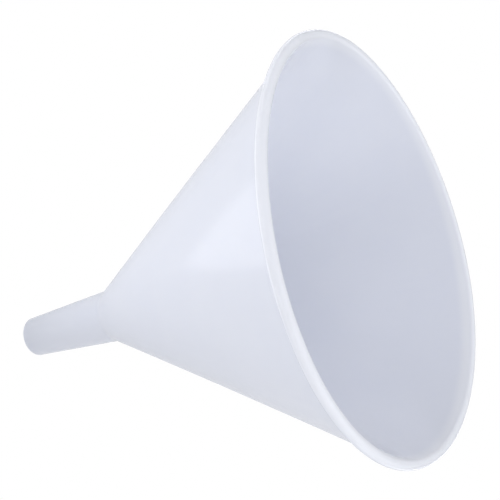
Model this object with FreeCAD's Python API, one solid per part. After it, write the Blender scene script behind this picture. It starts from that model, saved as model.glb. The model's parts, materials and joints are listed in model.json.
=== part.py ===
import FreeCAD, Part
import math
import os

# Plain conical funnel, moulded in one piece. Millimetres and degrees.
# The axis of symmetry is Z, the mouth faces up, and the origin is the centre of the outlet face.

# Whole funnel
MOUTH_DIAMETER = 150.0
TOTAL_HEIGHT = 162.0
CONE_HALF_ANGLE = 28.0

# Cone
CONE_WALL = 1.6  # measured square to the wall

# Stem
STEM_LENGTH = 43.0  # outlet face to where the outsides of stem and cone would meet in a sharp corner
OUTLET_OUTER_DIAMETER = 15.7
OUTLET_BORE_DIAMETER = 13.0
OUTLET_LAND_LENGTH = 4.0  # parallel stretch of bore behind the outlet face
STEM_WALL_AT_CONE = 1.6
OUTLET_EDGE_RADIUS = 0.4

# Throat, where the stem opens into the cone
THROAT_OUTER_RADIUS = 8.0
THROAT_INNER_RADIUS = 5.0
THROAT_FOOT_HEIGHT = 40.0  # the throat's fillets lie between these two heights
THROAT_TOP_HEIGHT = 50.0

# Rim
RIM_HEIGHT = 3.6
RIM_OVERHANG = 2.4  # how far the rim stands out past the cone's outside, at the rim's mid-height
RIM_OUTER_EDGE_RADIUS = 1.7
RIM_INNER_EDGE_RADIUS = 1.0
RIM_UNDER_FILLET = 1.0
RIM_FOOT = 1.6  # stretch of wall below the rim's underside that belongs to the rim

# Worked out from the dimensions above
CONE_SLOPE = math.tan(math.radians(CONE_HALF_ANGLE))
CONE_WALL_LEVEL = CONE_WALL / math.cos(math.radians(CONE_HALF_ANGLE))
RIM_MIDDLE_HEIGHT = TOTAL_HEIGHT - RIM_HEIGHT / 2
RIM_UNDERSIDE_HEIGHT = TOTAL_HEIGHT - RIM_HEIGHT
CONE_TOP_HEIGHT = RIM_UNDERSIDE_HEIGHT - RIM_FOOT
OUTLET_OUTER_RADIUS = OUTLET_OUTER_DIAMETER / 2
OUTLET_BORE_RADIUS = OUTLET_BORE_DIAMETER / 2


def cone_outside(height):
    """Radius of the cone's outer surface at a height."""
    radius_at_rim = MOUTH_DIAMETER / 2 - RIM_OVERHANG
    return radius_at_rim - (RIM_MIDDLE_HEIGHT - height) * CONE_SLOPE


def cone_inside(height):
    """Radius of the cone's inner surface at a height."""
    return cone_outside(height) - CONE_WALL_LEVEL


def stem_outside(height):
    """Radius of the stem's outer taper at a height."""
    spread = cone_outside(STEM_LENGTH) - OUTLET_OUTER_RADIUS
    return OUTLET_OUTER_RADIUS + spread * height / STEM_LENGTH


def stem_bore_slope():
    """How fast the stem's bore widens above the parallel land."""
    radius_at_cone = cone_outside(STEM_LENGTH) - STEM_WALL_AT_CONE
    return (radius_at_cone - OUTLET_BORE_RADIUS) / (STEM_LENGTH - OUTLET_LAND_LENGTH)


def stem_inside(height):
    """Radius of the stem's bore at a height above the parallel land."""
    return OUTLET_BORE_RADIUS + (height - OUTLET_LAND_LENGTH) * stem_bore_slope()


def throat_height():
    """Height where the bore's taper and the cone's inner surface cross."""
    gap = stem_inside(STEM_LENGTH) - cone_inside(STEM_LENGTH)
    return STEM_LENGTH + gap / (CONE_SLOPE - stem_bore_slope())


def rounded_corner(before, corner, after, radius):
    """The arc that rounds a corner of a section, as its start, middle and end points."""
    towards_before = (before - corner).normalize()
    towards_after = (after - corner).normalize()
    half_angle = towards_before.getAngle(towards_after) / 2
    setback = radius / math.tan(half_angle)
    bisector = (towards_before + towards_after).normalize()
    middle_distance = radius / math.sin(half_angle) - radius
    start = corner + towards_before * setback
    middle = corner + bisector * middle_distance
    end = corner + towards_after * setback
    return start, middle, end


def section_wire(corners):
    """A closed section in the XZ plane from (radius, height, corner radius) triples."""
    points = [FreeCAD.Vector(radius, 0, height) for radius, height, rounding in corners]
    bends = []
    for number, (radius, height, rounding) in enumerate(corners):
        following = points[(number + 1) % len(points)]
        bends.append(rounded_corner(points[number - 1], points[number], following, rounding))
    edges = []
    for number, (start, middle, end) in enumerate(bends):
        edges.append(Part.LineSegment(bends[number - 1][2], start).toShape())
        if corners[number][2] > 0:
            edges.append(Part.Arc(start, middle, end).toShape())
    return Part.Wire(edges)


def turned(corners):
    """The solid that a section sweeps in one full turn about the funnel's axis."""
    face = Part.Face(section_wire(corners))
    return face.revolve(FreeCAD.Vector(0, 0, 0), FreeCAD.Vector(0, 0, 1), 360)


def stem():
    """Tapered outlet tube, cut square at its end."""
    return turned([
        (OUTLET_BORE_RADIUS, 0, 0),
        (OUTLET_OUTER_RADIUS, 0, OUTLET_EDGE_RADIUS),
        (stem_outside(THROAT_FOOT_HEIGHT), THROAT_FOOT_HEIGHT, 0),
        (stem_inside(THROAT_FOOT_HEIGHT), THROAT_FOOT_HEIGHT, 0),
        (OUTLET_BORE_RADIUS, OUTLET_LAND_LENGTH, 0),
    ])


def throat():
    """Rounded neck where the stem opens into the cone."""
    return turned([
        (stem_inside(THROAT_FOOT_HEIGHT), THROAT_FOOT_HEIGHT, 0),
        (stem_outside(THROAT_FOOT_HEIGHT), THROAT_FOOT_HEIGHT, 0),
        (cone_outside(STEM_LENGTH), STEM_LENGTH, THROAT_OUTER_RADIUS),
        (cone_outside(THROAT_TOP_HEIGHT), THROAT_TOP_HEIGHT, 0),
        (cone_inside(THROAT_TOP_HEIGHT), THROAT_TOP_HEIGHT, 0),
        (cone_inside(throat_height()), throat_height(), THROAT_INNER_RADIUS),
    ])


def cone_wall():
    """Thin conical wall between the throat and the rim."""
    return turned([
        (cone_inside(THROAT_TOP_HEIGHT), THROAT_TOP_HEIGHT, 0),
        (cone_outside(THROAT_TOP_HEIGHT), THROAT_TOP_HEIGHT, 0),
        (cone_outside(CONE_TOP_HEIGHT), CONE_TOP_HEIGHT, 0),
        (cone_inside(CONE_TOP_HEIGHT), CONE_TOP_HEIGHT, 0),
    ])


def mouth_rim():
    """Thick rounded rim that stands out round the mouth, with a narrow flat land on top."""
    return turned([
        (cone_inside(CONE_TOP_HEIGHT), CONE_TOP_HEIGHT, 0),
        (cone_outside(CONE_TOP_HEIGHT), CONE_TOP_HEIGHT, 0),
        (cone_outside(RIM_UNDERSIDE_HEIGHT), RIM_UNDERSIDE_HEIGHT, RIM_UNDER_FILLET),
        (MOUTH_DIAMETER / 2, RIM_UNDERSIDE_HEIGHT, RIM_OUTER_EDGE_RADIUS),
        (MOUTH_DIAMETER / 2, TOTAL_HEIGHT, RIM_OUTER_EDGE_RADIUS),
        (cone_inside(TOTAL_HEIGHT), TOTAL_HEIGHT, RIM_INNER_EDGE_RADIUS),
    ])


def write_node(name, shape):
    """Check one closed solid and write it to its own file."""
    if not shape.isValid() or len(shape.Solids) != 1:
        raise ValueError(name + " isn't one valid solid")
    shape.exportStep(os.path.join("parts", name + ".step"))
    print(f"{name}: {shape.Volume / 1000:.2f} cm3, box {shape.BoundBox}")


os.makedirs("parts", exist_ok=True)
write_node("mouth_rim", mouth_rim())
write_node("cone_wall", cone_wall())
write_node("throat", throat())
write_node("stem", stem())
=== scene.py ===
"""A plain conical funnel moulded in one piece from white plastic, laid out as a Blender add-on.

Everything is in metres, with the outlet face at the origin and +Z up the funnel's axis to its mouth.
"""

import json
import math

import bmesh
import bpy
from bpy.props import FloatProperty, FloatVectorProperty, IntProperty, PointerProperty
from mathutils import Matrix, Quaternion, Vector


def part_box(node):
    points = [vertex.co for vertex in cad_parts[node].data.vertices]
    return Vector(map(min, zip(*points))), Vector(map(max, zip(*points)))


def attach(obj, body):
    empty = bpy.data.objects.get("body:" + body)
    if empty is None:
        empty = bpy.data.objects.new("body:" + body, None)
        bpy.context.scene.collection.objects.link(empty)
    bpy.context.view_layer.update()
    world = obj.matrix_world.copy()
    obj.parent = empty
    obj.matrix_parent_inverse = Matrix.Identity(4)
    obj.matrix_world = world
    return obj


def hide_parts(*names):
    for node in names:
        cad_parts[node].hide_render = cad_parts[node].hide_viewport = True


bl_info = {
    "name": "Conical Funnel",
    "version": (1, 0, 0),
    "blender": (4, 5, 0),
    "location": "3D View > Sidebar > Funnel",
    "description": "Turns a one-piece plastic funnel, finishes it and sets up its studio",
    "category": "Add Mesh",
}

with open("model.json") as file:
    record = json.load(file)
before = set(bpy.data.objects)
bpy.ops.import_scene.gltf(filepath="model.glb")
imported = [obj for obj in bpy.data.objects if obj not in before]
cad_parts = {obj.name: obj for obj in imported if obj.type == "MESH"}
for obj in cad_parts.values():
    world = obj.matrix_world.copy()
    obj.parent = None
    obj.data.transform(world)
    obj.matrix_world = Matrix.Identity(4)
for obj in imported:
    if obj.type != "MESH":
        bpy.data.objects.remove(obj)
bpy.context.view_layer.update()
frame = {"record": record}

FUNNEL = "funnel"
BODY = "root"
MM = 0.001
TENTH_OF_MM = 4
RIM_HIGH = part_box("mouth_rim")[1]
MOUTH_RADIUS = round(RIM_HIGH.x, TENTH_OF_MM)
TOTAL_HEIGHT = round(RIM_HIGH.z, TENTH_OF_MM)
BORE = next(mount["dims"] for mount in frame["record"]["mounts"] if mount["name"] == "outlet_bore")


def length(name, description, default):
    """A size in metres."""
    return FloatProperty(
        name=name, description=description, default=default, min=0.0, unit="LENGTH", precision=5
    )


def angle(name, description, degrees):
    """An angle, given here in degrees."""
    return FloatProperty(name=name, description=description, default=math.radians(degrees), subtype="ANGLE")


def colour(name, description, default):
    """A linear colour."""
    return FloatVectorProperty(
        name=name, description=description, default=default, size=3, min=0.0, max=1.0, subtype="COLOR"
    )


class FunnelSizes(bpy.types.PropertyGroup):
    """The funnel's own dimensions, and the small faults that moulding leaves in its shape."""

    mouth_radius: length("Mouth radius", "Axis to the outside of the rim", MOUTH_RADIUS)
    total_height: length("Total height", "Outlet face to mouth face", TOTAL_HEIGHT)
    cone_angle: angle("Cone angle", "Between the axis and the cone's wall", 28.0)
    cone_wall: length("Cone wall", "Thickness square to the cone's wall", 1.6 * MM)
    stem_length: length("Stem length", "Outlet face to where stem and cone would meet unrounded", 43.0 * MM)
    stem_wall: length("Stem wall", "Level thickness of the stem where it meets the cone", 1.6 * MM)
    outlet_radius: length("Outlet radius", "Outside of the stem at its end", 7.85 * MM)
    bore_radius: length("Bore radius", "Inside of the stem at its end", BORE["r_mm"] * MM)
    bore_land: length("Bore land", "Parallel stretch of bore at the outlet", BORE["length_mm"] * MM)
    outlet_edge: length("Outlet edge", "Rounding of the stem's outer end", 0.4 * MM)
    bore_edge: length("Bore edge", "Rounding of the stem's inner end", 0.15 * MM)
    throat_outside: length("Throat outside", "Rounding between the outsides of stem and cone", 8.0 * MM)
    throat_inside: length("Throat inside", "Rounding between the bore and the cone's inside", 5.0 * MM)
    rim_height: length("Rim height", "Underside of the rim to the mouth face", 3.6 * MM)
    rim_overhang: length("Rim overhang", "Rim past the cone's outside, at the rim's mid-height", 2.4 * MM)
    rim_outer_edge: length("Rim outer edge", "Rounding of the rim's two outer edges", 1.7 * MM)
    rim_inner_edge: length("Rim inner edge", "Rounding of the rim's inner edge", 1.8 * MM)
    rim_fillet: length("Rim fillet", "Between the rim's underside and the cone", 2.7 * MM)
    seam_angle: angle("Seam angle", "Where the mould's parting seam stands, round from +X", -76.5)
    seam_height: length("Seam height", "How far the seam stands off, along the normals", 0.05 * MM)
    seam_width: length("Seam width", "Half the width of the parting seam", 0.2 * MM)
    seam_foot: length("Seam foot", "Height at which the seam begins", 2.0 * MM)
    seam_top: length("Seam top", "Height at which the seam fades out", 134.0 * MM)
    waviness: length("Waviness", "How far the thin wall wanders in and out", 0.12 * MM)
    oval: length("Oval", "How far the cooled mouth is out of round, on the radius", 1.2 * MM)
    oval_angle: angle("Oval angle", "Where the mouth's long axis lies, round from +X", -47.0)
    saddle: length("Saddle", "How far the cooled mouth is out of flat", 0.85 * MM)
    saddle_angle: angle("Saddle angle", "Where the mouth's high places lie, round from +X", 55.0)
    longest_step: length("Longest step", "Longest face along the wall", 4.0 * MM)
    steps_round: IntProperty(
        name="Steps round", description="Faces round the funnel", default=384, min=64, max=512
    )
    seed: IntProperty(name="Seed", description="Picks one pattern of waviness", default=7)


class FunnelFinish(bpy.types.PropertyGroup):
    """The colour and gloss of the plastic."""

    plastic: colour("Plastic", "Colour of the thin wall", (0.8, 0.815, 0.868))
    cloud: colour("Cloud", "Colour of the thin wall where it is a little denser", (0.79, 0.806, 0.862))
    # Painted brightness: the rim's lighter colour stands in for the thick plastic letting less light escape
    # than the thin wall.
    rim_painted_brightness: colour(
        "Thick plastic", "Colour of the rim, which lets less light through", (0.86, 0.87, 0.905)
    )
    glow_depth: length("Glow depth", "How far light travels inside the plastic", 0.5 * MM)
    gloss_low: FloatProperty(
        name="Smoothest", description="Roughness of the smoothest places", default=0.12, min=0.0, max=1.0
    )
    gloss_high: FloatProperty(
        name="Roughest", description="Roughness of the dullest places", default=0.2, min=0.0, max=1.0
    )


class FunnelStudio(bpy.types.PropertyGroup):
    """The floor that is seen, and the camera."""

    floor_radius: length("Floor radius", "Size of the round floor", 9.0)
    floor_drop: length("Floor drop", "Gap between the outlet face and the floor", 0.3 * MM)
    floor_colour: colour("Floor colour", "Glow of the pale floor", (1.0, 1.0, 1.0))
    camera_place: FloatVectorProperty(
        name="Camera place", description="Where the camera stands", default=(0.0, -0.3217, 0.3036),
        size=3, subtype="TRANSLATION",
    )
    camera_aim: FloatVectorProperty(
        name="Camera aim", description="Point that the camera looks at", default=(-0.0098, 0.0, 0.1107),
        size=3, subtype="TRANSLATION",
    )
    camera_roll: angle("Camera roll", "Turn of the camera about its line of sight", 73.8)
    camera_lens: FloatProperty(
        name="Camera lens", description="Focal length in millimetres", default=74.8, min=1.0
    )


class Value:
    """An output socket that can be added, multiplied and so on, each of which adds a Math node."""

    def __init__(self, sheet, socket):
        self.sheet = sheet
        self.socket = socket

    def __add__(self, other):
        return self.sheet.math("ADD", self, other)

    def __sub__(self, other):
        return self.sheet.math("SUBTRACT", self, other)

    def __mul__(self, other):
        return self.sheet.math("MULTIPLY", self, other)

    def __truediv__(self, other):
        return self.sheet.math("DIVIDE", self, other)


class Sheet:
    """A node tree that is written from top to bottom."""

    def __init__(self, tree):
        self.tree = tree

    def feed(self, socket, value):
        """Links a value to an input, or sets the input to a plain number, vector, colour or material."""
        if isinstance(value, Value):
            self.tree.links.new(value.socket, socket)
        else:
            socket.default_value = value

    def node(self, kind, inputs=(), **settings):
        """Adds a node and fills its inputs, which are named or numbered."""
        node = self.tree.nodes.new(kind)
        for name, setting in settings.items():
            setattr(node, name, setting)
        for key, value in dict(inputs).items():
            self.feed(node.inputs[key], value)
        return node

    def value(self, kind, inputs=(), output=0, **settings):
        """Adds a node and gives one of its outputs."""
        return Value(self, self.node(kind, inputs, **settings).outputs[output])

    def math(self, operation, *values):
        """One Math node."""
        return self.value("ShaderNodeMath", enumerate(values), operation=operation)

    def vector_math(self, operation, *values, output="Vector"):
        """One Vector Math node."""
        return self.value("ShaderNodeVectorMath", enumerate(values), output=output, operation=operation)

    def vector(self, x, y, z):
        """One vector from three values."""
        return self.value("ShaderNodeCombineXYZ", enumerate((x, y, z)))

    def parts(self, vector):
        """The three values of a vector."""
        node = self.node("ShaderNodeSeparateXYZ", {0: vector})
        return [Value(self, output) for output in node.outputs]

    def ramp(self, value, low, high, to_low=0.0, to_high=1.0):
        """Runs smoothly from to_low to to_high as a value goes from low to high."""
        inputs = {"Value": value, "From Min": low, "From Max": high, "To Min": to_low, "To Max": to_high}
        return self.value("ShaderNodeMapRange", inputs, interpolation_type="SMOOTHSTEP")

    def blend(self, factor, first, second):
        """A colour between two colours."""
        node = self.node("ShaderNodeMix", data_type="RGBA")
        given = {"Factor": factor, "A": first, "B": second}
        for socket in node.inputs:
            if socket.enabled and socket.name in given:
                value = given[socket.name]
                whole = isinstance(value, Value) or socket.name == "Factor"
                self.feed(socket, value if whole else (*value, 1.0))
        return Value(self, next(socket for socket in node.outputs if socket.enabled))

    def by_index(self, data_type, values):
        """A field that gives each point of a short line its own value."""
        switch = self.node("GeometryNodeIndexSwitch", data_type=data_type)
        while len(switch.index_switch_items) < len(values):
            switch.index_switch_items.new()
        self.feed(switch.inputs["Index"], self.value("GeometryNodeInputIndex"))
        for place, value in enumerate(values, start=1):
            self.feed(switch.inputs[place], value)
        return Value(self, switch.outputs[0])


# The funnel's body: its section is drawn corner by corner, rounded, and turned about the axis.

ARC_STEPS = 8
SEAM_CROWDING = 0.9
WAVES_PER_METRE = 38.0
SEAM_FOOT_FADE = 6 * MM
SEAM_TOP_FADE = 12 * MM


def section_corners(sheet, size):
    """The corners of the wall's section as (radius, height, rounding), up the outside and down the inside."""
    slope = sheet.math("TANGENT", size["cone_angle"])
    level_wall = size["cone_wall"] / sheet.math("COSINE", size["cone_angle"])
    rim_underside = size["total_height"] - size["rim_height"]
    rim_middle = size["total_height"] - size["rim_height"] * 0.5

    def cone_outside(height):
        return size["mouth_radius"] - size["rim_overhang"] - (rim_middle - height) * slope

    neck = cone_outside(size["stem_length"])
    bore_spread = neck - size["stem_wall"] - size["bore_radius"]
    bore_slope = bore_spread / (size["stem_length"] - size["bore_land"])
    throat_height = size["stem_length"] + (level_wall - size["stem_wall"]) / (slope - bore_slope)
    return (
        (size["bore_radius"], 0.0, size["bore_edge"]),
        (size["outlet_radius"], 0.0, size["outlet_edge"]),
        (neck, size["stem_length"], size["throat_outside"]),
        (cone_outside(rim_underside), rim_underside, size["rim_fillet"]),
        (size["mouth_radius"], rim_underside, size["rim_outer_edge"]),
        (size["mouth_radius"], size["total_height"], size["rim_outer_edge"]),
        (cone_outside(size["total_height"]) - level_wall, size["total_height"], size["rim_inner_edge"]),
        (cone_outside(throat_height) - level_wall, throat_height, size["throat_inside"]),
        (size["bore_radius"], size["bore_land"], 0.0),
    )


def section_curve(sheet, size):
    """The rounded section as a closed curve, with radius along X and height along Y."""
    corners = section_corners(sheet, size)
    places = [sheet.vector(radius, height, 0.0) for radius, height, rounding in corners]
    roundings = [rounding for radius, height, rounding in corners]
    arc_steps = [ARC_STEPS if isinstance(rounding, Value) else 1 for rounding in roundings]
    line = sheet.value("GeometryNodeMeshLine", {"Count": len(corners)})
    laid_out = {"Geometry": line, "Position": sheet.by_index("VECTOR", places)}
    line = sheet.value("GeometryNodeSetPosition", laid_out)
    curve = sheet.value("GeometryNodeMeshToCurve", {"Mesh": line})
    curve = sheet.value("GeometryNodeSetSplineCyclic", {"Geometry": curve, "Cyclic": True})
    inputs = {
        "Curve": curve,
        "Count": sheet.by_index("INT", arc_steps),
        "Radius": sheet.by_index("FLOAT", roundings),
        "Limit Radius": False,
    }
    curve = sheet.value("GeometryNodeFilletCurve", inputs, mode="POLY")
    so_far = sheet.value("GeometryNodeSplineParameter", output="Length")
    next_point = sheet.value("GeometryNodeInputIndex") + 1.0
    ahead = sheet.value("GeometryNodeFieldAtIndex", {"Index": next_point, "Value": so_far})
    cuts = sheet.math("MAXIMUM", sheet.math("FLOOR", (ahead - so_far) / size["longest_step"]), 0.0)
    return sheet.value("GeometryNodeSubdivideCurve", {"Curve": curve, "Cuts": cuts})


def captured(sheet, geometry, kind, field):
    """Keeps a field on the points of a geometry, as (geometry, kept value)."""
    node = sheet.node("GeometryNodeCaptureAttribute", {"Geometry": geometry})
    node.capture_items.new(kind, "kept")
    sheet.feed(node.inputs[1], field)
    return Value(sheet, node.outputs[0]), Value(sheet, node.outputs[1])


def turned(sheet, size, curve):
    """Turns a section about +Z. The steps round are shortest beside the two seams of the mould."""
    section, place = captured(sheet, curve, "VECTOR", sheet.value("GeometryNodeInputPosition"))
    ring = sheet.value("GeometryNodeCurvePrimitiveCircle", {"Resolution": size["steps_round"], "Radius": 1.0})
    step = sheet.value("GeometryNodeInputIndex")
    ring, step = captured(sheet, ring, "FLOAT", step / size["steps_round"])
    shell = sheet.value("GeometryNodeCurveToMesh", {"Curve": ring, "Profile Curve": section})
    crowding = sheet.math("SINE", step * (2 * math.tau)) * (SEAM_CROWDING / 2)
    bearing = size["seam_angle"] + step * math.tau - crowding
    radius, height = sheet.parts(place)[:2]
    above_stem = sheet.math("MAXIMUM", height - size["stem_length"], 0.0)
    up_cone = above_stem / (size["total_height"] - size["stem_length"])
    warp = up_cone * up_cone
    radius = radius + warp * size["oval"] * sheet.math("COSINE", (bearing - size["oval_angle"]) * 2.0)
    height = height + warp * size["saddle"] * sheet.math("COSINE", (bearing - size["saddle_angle"]) * 2.0)
    across = radius * sheet.math("COSINE", bearing)
    along = radius * sheet.math("SINE", bearing)
    bent = {"Geometry": shell, "Position": sheet.vector(across, along, height)}
    return sheet.value("GeometryNodeSetPosition", bent)


def moulding_marks(sheet, size, shell):
    """Adds the fine parting seam, and lets the thin wall wander in and out a little."""
    # The shell's faces point into the plastic, so the seam falls on the wall's inside, as a groove.
    place = sheet.value("GeometryNodeInputPosition")
    normal = sheet.value("GeometryNodeInputNormal")
    x, y, height = sheet.parts(place)
    outwards = sheet.vector_math("NORMALIZE", sheet.vector(x, y, 0.0))
    faces_out = sheet.vector_math("DOT_PRODUCT", normal, outwards, output="Value")
    off_seam = sheet.math("ABSOLUTE", x * sheet.math("SINE", size["seam_angle"])
                          - y * sheet.math("COSINE", size["seam_angle"]))
    seam = sheet.ramp(off_seam, size["seam_width"], 0.0, 0.0, size["seam_height"])
    seam = seam * sheet.ramp(faces_out, 0.3, 0.6)
    seam = seam * sheet.ramp(height, size["seam_foot"], size["seam_foot"] + SEAM_FOOT_FADE)
    seam = seam * sheet.ramp(height, size["seam_top"], size["seam_top"] - SEAM_TOP_FADE)
    noise = {"Vector": place, "W": size["seed"], "Scale": WAVES_PER_METRE, "Detail": 1.0}
    wave = sheet.value("ShaderNodeTexNoise", noise, noise_dimensions="4D") - 0.5
    raised = sheet.vector_math("SCALE", normal)
    sheet.feed(raised.socket.node.inputs["Scale"], seam)
    wandered = sheet.vector_math("SCALE", outwards)
    sheet.feed(wandered.socket.node.inputs["Scale"], wave * size["waviness"] * 2.0)
    moved = sheet.vector_math("ADD", raised, wandered)
    return sheet.value("GeometryNodeSetPosition", {"Geometry": shell, "Offset": moved})


def size_inputs(tree, sizes):
    """Gives the tree one named input for each size, and returns the inputs' identifiers by property name."""
    identifiers = {}
    for name in FunnelSizes.__annotations__:
        prop = sizes.bl_rna.properties[name]
        whole = prop.type == "INT"
        kind = "NodeSocketInt" if whole else "NodeSocketFloat"
        socket = tree.interface.new_socket(name=prop.name, in_out="INPUT", socket_type=kind)
        socket.description = prop.description
        identifiers[name] = socket.identifier
    return identifiers


def funnel_tree(sizes, plastic):
    """The node tree that makes the whole shell, and its inputs' identifiers."""
    tree = bpy.data.node_groups.new("Turned funnel", "GeometryNodeTree")
    tree.is_modifier = True
    tree.interface.new_socket(name="Geometry", in_out="OUTPUT", socket_type="NodeSocketGeometry")
    identifiers = size_inputs(tree, sizes)
    sheet = Sheet(tree)
    group_input = tree.nodes.new("NodeGroupInput")
    size = {name: Value(sheet, group_input.outputs[place]) for place, name in enumerate(identifiers)}
    shell = turned(sheet, size, section_curve(sheet, size))
    shell = moulding_marks(sheet, size, shell)
    shell = sheet.value("GeometryNodeSetShadeSmooth", {"Geometry": shell, "Shade Smooth": True})
    shell = sheet.value("GeometryNodeRealizeInstances", {"Geometry": shell})
    shell = sheet.value("GeometryNodeSetMaterial", {"Geometry": shell, "Material": plastic})
    group_output = tree.nodes.new("NodeGroupOutput")
    tree.links.new(shell.socket, group_output.inputs[0])
    return tree, identifiers


def shell_mesh(sizes, plastic):
    """Runs the node tree on an empty mesh and keeps the result as a plain mesh."""
    tree, identifiers = funnel_tree(sizes, plastic)
    blank = bpy.data.objects.new("funnel_blank", bpy.data.meshes.new("funnel_blank"))
    bpy.context.scene.collection.objects.link(blank)
    modifier = blank.modifiers.new("Turned funnel", "NODES")
    modifier.node_group = tree
    for name, identifier in identifiers.items():
        modifier[identifier] = getattr(sizes, name)
    evaluated = blank.evaluated_get(bpy.context.evaluated_depsgraph_get())
    mesh = bpy.data.meshes.new_from_object(evaluated)
    bpy.data.objects.remove(blank)
    bpy.data.node_groups.remove(tree)
    return mesh


# The plastic: how fine its patterns are, and how far they show.

STREAKS_ROUND = 22.0
STREAKS_UP = 9.0
CLOUD_SCALE = 42.0
RIPPLE_SCALE = 420.0
GRAIN_SCALE = 2600.0
BUMP_STRENGTH = 0.3
BUMP_HEIGHT = 0.03 * MM
PLASTIC_IOR = 1.49
PLASTIC_SHINE = 0.4
# How far below the rim's underside the painted rim brightness begins, and how far below the mouth face it is
# whole.
RIM_BLEND_BELOW = 1.0 * MM
RIM_BLEND_TOP = 1.5 * MM


def white_plastic(sizes, finish):
    """Smooth, slightly milky plastic with faint clouds, flow streaks from the stem and a soft ripple, and a
    rim painted lighter as painted brightness for its thick plastic letting less light through.
    """
    material = bpy.data.materials.new("White plastic")
    material.use_nodes = True
    sheet = Sheet(material.node_tree)
    shader = material.node_tree.nodes["Principled BSDF"]
    place = sheet.value("ShaderNodeTexCoord", output="Object")
    x, y, height = sheet.parts(place)
    bearing = sheet.vector_math("NORMALIZE", sheet.vector(x, y, 0.0))
    round_funnel = (STREAKS_ROUND, STREAKS_ROUND, 0.0)
    up_funnel = sheet.vector(0.0, 0.0, height * STREAKS_UP)
    streak_place = sheet.vector_math("MULTIPLY_ADD", bearing, round_funnel, up_funnel)
    streaks = sheet.value("ShaderNodeTexNoise", {"Vector": streak_place, "Scale": 1.0, "Detail": 3.0})
    clouds = sheet.value("ShaderNodeTexNoise", {"Vector": place, "Scale": CLOUD_SCALE, "Detail": 3.0})
    ripple = sheet.value("ShaderNodeTexNoise", {"Vector": place, "Scale": RIPPLE_SCALE, "Detail": 2.0})
    grain = sheet.value("ShaderNodeTexNoise", {"Vector": place, "Scale": GRAIN_SCALE, "Detail": 2.0})
    density = clouds * 0.8 + streaks * 0.2
    wall = sheet.blend(sheet.ramp(density, 0.38, 0.62), finish.plastic, finish.cloud)
    # Painted brightness: from just under the rim upwards the colour blends to the lighter rim colour,
    # standing in for the thick plastic letting less light escape.
    rim_foot = sizes.total_height - sizes.rim_height - RIM_BLEND_BELOW
    rim_brightness_mask = sheet.ramp(height, rim_foot, sizes.total_height - RIM_BLEND_TOP)
    sheet.feed(shader.inputs["Base Color"], sheet.blend(rim_brightness_mask, wall, finish.rim_painted_brightness))
    patchiness = ripple * 0.4 + clouds * 0.4 + grain * 0.2
    dullness = sheet.ramp(patchiness, 0.35, 0.65, finish.gloss_low, finish.gloss_high)
    sheet.feed(shader.inputs["Roughness"], dullness)
    relief = streaks * 0.12 + ripple * 0.1
    bump_inputs = {"Strength": BUMP_STRENGTH, "Distance": BUMP_HEIGHT, "Height": relief}
    bump = sheet.value("ShaderNodeBump", bump_inputs)
    sheet.feed(shader.inputs["Normal"], bump)
    shader.inputs["IOR"].default_value = PLASTIC_IOR
    shader.inputs["Specular IOR Level"].default_value = PLASTIC_SHINE
    shader.inputs["Subsurface Weight"].default_value = 1.0
    shader.inputs["Subsurface Radius"].default_value = (1.0, 1.0, 1.0)
    shader.inputs["Subsurface Scale"].default_value = finish.glow_depth
    return material


class FUNNEL_OT_make_funnel(bpy.types.Operator):
    """Makes the whole funnel as one smooth plastic shell: stem, throat, cone and rim"""

    bl_idname = "funnel.make_funnel"
    bl_label = "Make funnel"

    def execute(self, context):
        scene = context.scene
        mesh = shell_mesh(scene.funnel_sizes, white_plastic(scene.funnel_sizes, scene.funnel_finish))
        mesh.name = FUNNEL
        if not mesh.polygons:
            raise RuntimeError("the funnel's node tree made no faces")
        funnel = bpy.data.objects.new(FUNNEL, mesh)
        scene.collection.objects.link(funnel)
        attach(funnel, BODY)
        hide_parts("mouth_rim", "cone_wall", "throat", "stem")
        return {"FINISHED"}


# The studio: a white floor and backdrop for the camera to see, and a light tent that only lights the funnel.
# Bearings run round from +X and elevations up from the table, both in degrees.

TENT_RADIUS = 2.5
TENT_SHARPNESS = 4.0  # a higher number draws each soft light in
SKY_GLOW = 0.8
LIGHT_COLOUR = (0.97, 0.985, 1.03, 1.0)

SOFT_LIGHTS = {
    "key": {"bearing": 225.0, "elevation": 8.0, "strength": 1.05},
    "high": {"bearing": 0.0, "elevation": 42.0, "strength": 1.15},
    "back": {"bearing": 150.0, "elevation": 40.0, "strength": 0.15},
}

# Painted shade: a dimmer disc lies in the tent under the funnel, standing in for the shadow it casts on a
# table, on a brighter floor.
SHADE_DISC_EDGE = 0.6
SHADE_DISC_EDGE_BLUR = 0.05
SHADE_DISC_GLOW = 0.74
TENT_FLOOR_GLOW = 1.8

# A white card lies on the dimmer disc, and its reflection is the bright patch on the cone's outside.
CARD_CORNERS = ((-0.03, -0.04), (-0.17, -0.04), (-0.17, -0.20), (0.05, -0.20))
CARD_GLOW = 1.65


def stage_piece(name, mesh, seen):
    """Adds a mesh to the stage. Where it isn't seen, it only lights the funnel."""
    piece = bpy.data.objects.new(name, mesh)
    piece.visible_camera = seen
    bpy.context.scene.collection.objects.link(piece)


def disc(name, radius, height):
    """A flat round sheet."""
    mesh = bpy.data.meshes.new(name)
    shape = bmesh.new()
    bmesh.ops.create_circle(shape, cap_ends=True, segments=128, radius=radius)
    bmesh.ops.translate(shape, verts=shape.verts, vec=(0.0, 0.0, height))
    shape.to_mesh(mesh)
    shape.free()
    return mesh


def glowing(name):
    """A material that only glows, as (material, its node sheet, its Emission node)."""
    material = bpy.data.materials.new(name)
    material.use_nodes = True
    sheet = Sheet(material.node_tree)
    glow = sheet.node("ShaderNodeEmission")
    sheet.feed(material.node_tree.nodes["Material Output"].inputs["Surface"], Value(sheet, glow.outputs[0]))
    return material, sheet, glow


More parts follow.
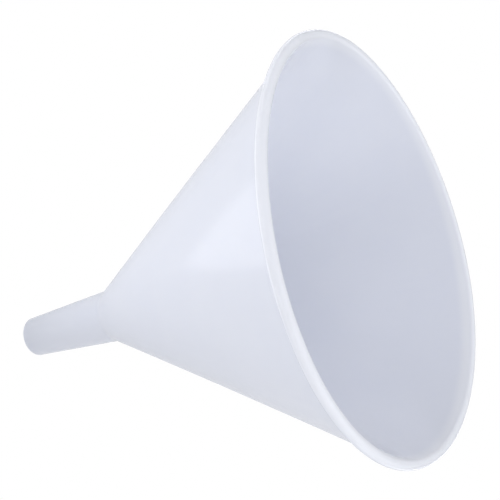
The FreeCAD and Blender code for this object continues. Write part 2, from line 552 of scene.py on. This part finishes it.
def add_floor(studio):
    """A wide round floor that glows evenly, so the funnel stands in white."""
    mesh = disc("floor", studio.floor_radius, -studio.floor_drop)
    material, _, glow = glowing("Glowing floor")
    glow.inputs["Color"].default_value = (*studio.floor_colour, 1.0)
    mesh.materials.append(material)
    stage_piece("floor", mesh, True)


def add_backdrop(studio):
    """An even white world, which is what stands behind the funnel above the floor."""
    world = bpy.data.worlds.new("Studio")
    world.use_nodes = True
    world.node_tree.nodes["Background"].inputs["Color"].default_value = (*studio.floor_colour, 1.0)
    bpy.context.scene.world = world


def add_tent():
    """A round tent about the funnel, with soft lights sewn into it."""
    mesh = bpy.data.meshes.new("tent")
    shape = bmesh.new()
    bmesh.ops.create_uvsphere(shape, u_segments=96, v_segments=48, radius=TENT_RADIUS)
    shape.to_mesh(mesh)
    shape.free()
    material, sheet, glow = glowing("Tent")
    direction = sheet.vector_math("NORMALIZE", sheet.value("ShaderNodeTexCoord", output="Object"))
    height = sheet.vector_math("DOT_PRODUCT", direction, (0.0, 0.0, 1.0), output="Value")
    total = sheet.math("MAXIMUM", height, 0.0) * SKY_GLOW
    for light in SOFT_LIGHTS.values():
        bearing = math.radians(light["bearing"])
        elevation = math.radians(light["elevation"])
        level = math.cos(elevation)
        middle = (level * math.cos(bearing), level * math.sin(bearing), math.sin(elevation))
        facing = sheet.vector_math("DOT_PRODUCT", direction, middle, output="Value")
        spread = sheet.math("POWER", sheet.math("MAXIMUM", facing, 0.0), TENT_SHARPNESS)
        total = total + spread * light["strength"]
    glow.inputs["Color"].default_value = LIGHT_COLOUR
    sheet.feed(glow.inputs["Strength"], total)
    mesh.materials.append(material)
    stage_piece("tent", mesh, False)


def add_tent_floor(studio):
    """The dimmer disc of painted shade under the funnel, standing in for its shadow on a table, and the
    brighter floor round it, a hair above the floor that is seen.
    """
    mesh = disc("tent_floor", TENT_RADIUS, -studio.floor_drop * 2 / 3)
    material, sheet, glow = glowing("Tent floor")
    place = sheet.value("ShaderNodeTexCoord", output="Object")
    away = sheet.vector_math("LENGTH", place, output="Value")
    glow.inputs["Color"].default_value = LIGHT_COLOUR
    # Painted shade: the glow is dimmer within the disc round the funnel and brighter beyond it.
    near, far = SHADE_DISC_EDGE - SHADE_DISC_EDGE_BLUR, SHADE_DISC_EDGE + SHADE_DISC_EDGE_BLUR
    sheet.feed(glow.inputs["Strength"], sheet.ramp(away, near, far, SHADE_DISC_GLOW, TENT_FLOOR_GLOW))
    mesh.materials.append(material)
    stage_piece("tent_floor", mesh, False)


def add_card(studio):
    """The white card that lies beside the funnel's foot."""
    mesh = bpy.data.meshes.new("card")
    height = -studio.floor_drop / 3
    mesh.from_pydata([(x, y, height) for x, y in CARD_CORNERS], [], [(0, 1, 2, 3)])
    material, _, glow = glowing("Card")
    glow.inputs["Color"].default_value = LIGHT_COLOUR
    glow.inputs["Strength"].default_value = CARD_GLOW
    mesh.materials.append(material)
    stage_piece("card", mesh, False)


def add_camera(studio):
    """The camera, rolled so that the funnel appears to lie on its side."""
    lens = bpy.data.cameras.new("camera")
    lens.lens = studio.camera_lens
    camera = bpy.data.objects.new("camera", lens)
    place = Vector(studio.camera_place)
    sight = Vector(studio.camera_aim) - place
    camera.location = place
    camera.rotation_mode = "QUATERNION"
    camera.rotation_quaternion = sight.to_track_quat("-Z", "Y") @ Quaternion((0, 0, 1), studio.camera_roll)
    bpy.context.scene.collection.objects.link(camera)
    bpy.context.scene.camera = camera


class FUNNEL_OT_set_stage(bpy.types.Operator):
    """Sets the floor, the backdrop, the light tent, its dimmer disc of painted shade and its card, and the
    camera
    """

    bl_idname = "funnel.set_stage"
    bl_label = "Set stage"

    def execute(self, context):
        studio = context.scene.funnel_studio
        add_floor(studio)
        add_backdrop(studio)
        add_tent()
        add_tent_floor(studio)
        add_card(studio)
        add_camera(studio)
        context.scene.view_settings.view_transform = "Standard"
        return {"FINISHED"}


class FUNNEL_PT_sidebar(bpy.types.Panel):
    """The funnel's steps and sizes"""

    bl_idname = "FUNNEL_PT_sidebar"
    bl_label = "Conical funnel"
    bl_space_type = "VIEW_3D"
    bl_region_type = "UI"
    bl_category = "Funnel"

    def draw(self, context):
        for operator in (FUNNEL_OT_make_funnel, FUNNEL_OT_set_stage):
            self.layout.operator(operator.bl_idname)
        for title, settings in (
            ("Sizes", context.scene.funnel_sizes),
            ("Finish", context.scene.funnel_finish),
            ("Studio", context.scene.funnel_studio),
        ):
            box = self.layout.box()
            box.label(text=title)
            for name in type(settings).__annotations__:
                box.prop(settings, name)


SETTINGS = {
    "funnel_sizes": FunnelSizes,
    "funnel_finish": FunnelFinish,
    "funnel_studio": FunnelStudio,
}
CLASSES = (*SETTINGS.values(), FUNNEL_OT_make_funnel, FUNNEL_OT_set_stage, FUNNEL_PT_sidebar)


def register():
    for each in CLASSES:
        bpy.utils.register_class(each)
    for name, kind in SETTINGS.items():
        setattr(bpy.types.Scene, name, PointerProperty(type=kind))


def unregister():
    for name in SETTINGS:
        delattr(bpy.types.Scene, name)
    for each in reversed(CLASSES):
        bpy.utils.unregister_class(each)


def main():
    """Makes the funnel and its studio."""
    register()
    bpy.ops.funnel.make_funnel()
    bpy.ops.funnel.set_stage()


if __name__ == "__main__":
    main()
